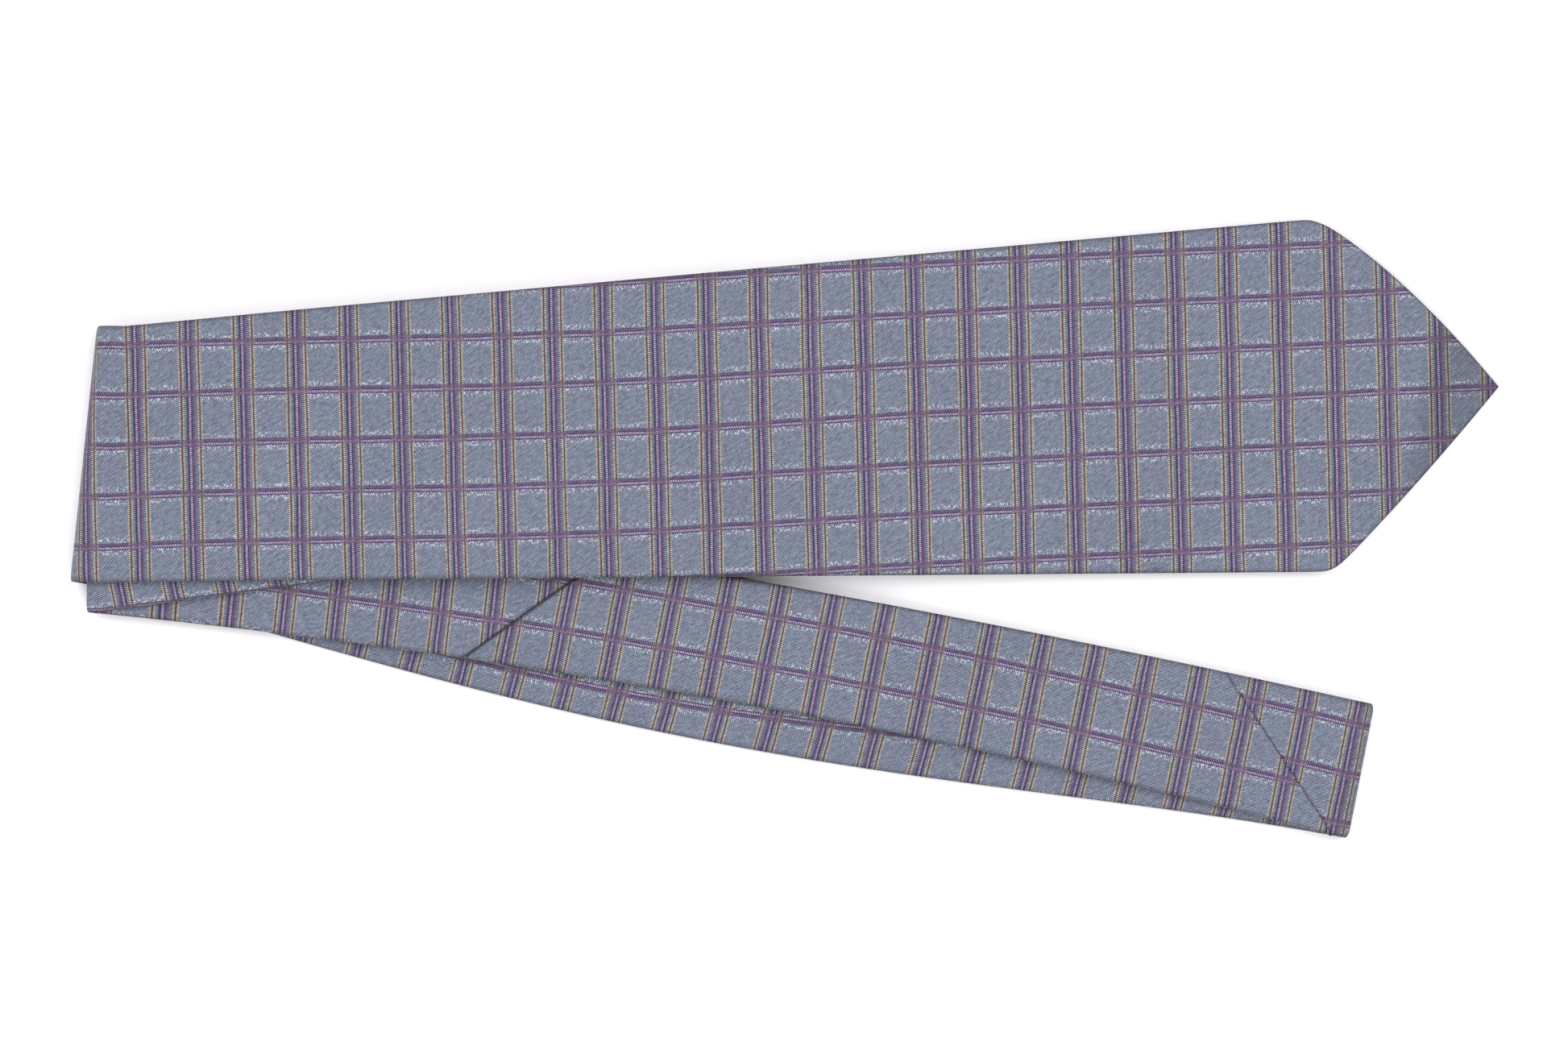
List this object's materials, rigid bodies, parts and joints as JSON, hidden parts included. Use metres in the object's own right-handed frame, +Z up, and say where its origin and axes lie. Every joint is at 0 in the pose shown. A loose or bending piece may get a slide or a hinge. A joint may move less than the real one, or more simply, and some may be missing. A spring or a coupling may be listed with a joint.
{
  "type": "folded necktie",
  "caption": "Woven plaid necktie folded in half twice and lying flat, with a lined envelope, pointed ends and a keeper loop.",
  "frame": {"origin": "on the surface the folded tie lies on, under the middle of its bounding box", "axes": "+X from the two creases towards the wide blade's point, +Y across the tie on the wide blade's side, +Z up through the layers"},
  "size_m": [0.3893, 0.1691, 0.0098],
  "materials": {
    "woven_silk": "woven, slightly lustrous",
    "interlining": "brushed, matte",
    "tipping": "plain weave, satin",
    "label": "smooth woven tape",
    "thread": "twisted thread"
  },
  "bodies": {
    "folded_base": {"under_shell": "woven_silk", "under_interlining": "interlining", "under_slip_stitch": "thread", "half_fold_shell": "woven_silk", "half_fold_interlining": "interlining", "under_shell_end": "woven_silk", "neck_shell": "woven_silk", "tail_shell_start": "woven_silk", "neck_interlining": "interlining", "neck_slip_stitch": "thread", "first_seam_thread": "thread", "second_seam_thread": "thread", "blade_crease_shell": "woven_silk", "blade_crease_interlining": "interlining", "tail_crease_shell": "woven_silk", "tail_crease_interlining": "interlining"},
    "wide_blade": {"blade_shell": "woven_silk", "blade_interlining": "interlining", "blade_tipping": "tipping", "blade_slip_stitch": "thread", "blade_bar_tack": "thread", "keeper_loop": "woven_silk", "keeper_stitches": "thread", "back_label": "label", "label_stitches": "thread", "care_label": "label"},
    "tail": {"tail_shell": "woven_silk", "tail_interlining": "interlining", "tail_tipping": "tipping", "tail_slip_stitch": "thread", "tail_bar_tack": "thread"}
  },
  "joints": [
    {"name": "blade_opening", "type": "hinge", "parent": "folded_base", "child": "wide_blade", "pos_m": [-0.1884, 0.02, 0.0049], "axis": [-0.061, -0.9981, 0], "range_deg": [0, 179.9], "deforming": ["blade_crease_shell", "blade_crease_interlining"]},
    {"name": "tail_opening", "type": "hinge", "parent": "folded_base", "child": "tail", "pos_m": [-0.1881, -0.0044, 0.0049], "axis": [-0.061, -0.9981, 0], "range_deg": [0, 179.9], "deforming": ["tail_crease_shell", "tail_crease_interlining"]}
  ],
  "couplings": [
    {"joint": "tail_opening", "follows": "blade_opening", "ratio": 1}
  ]
}
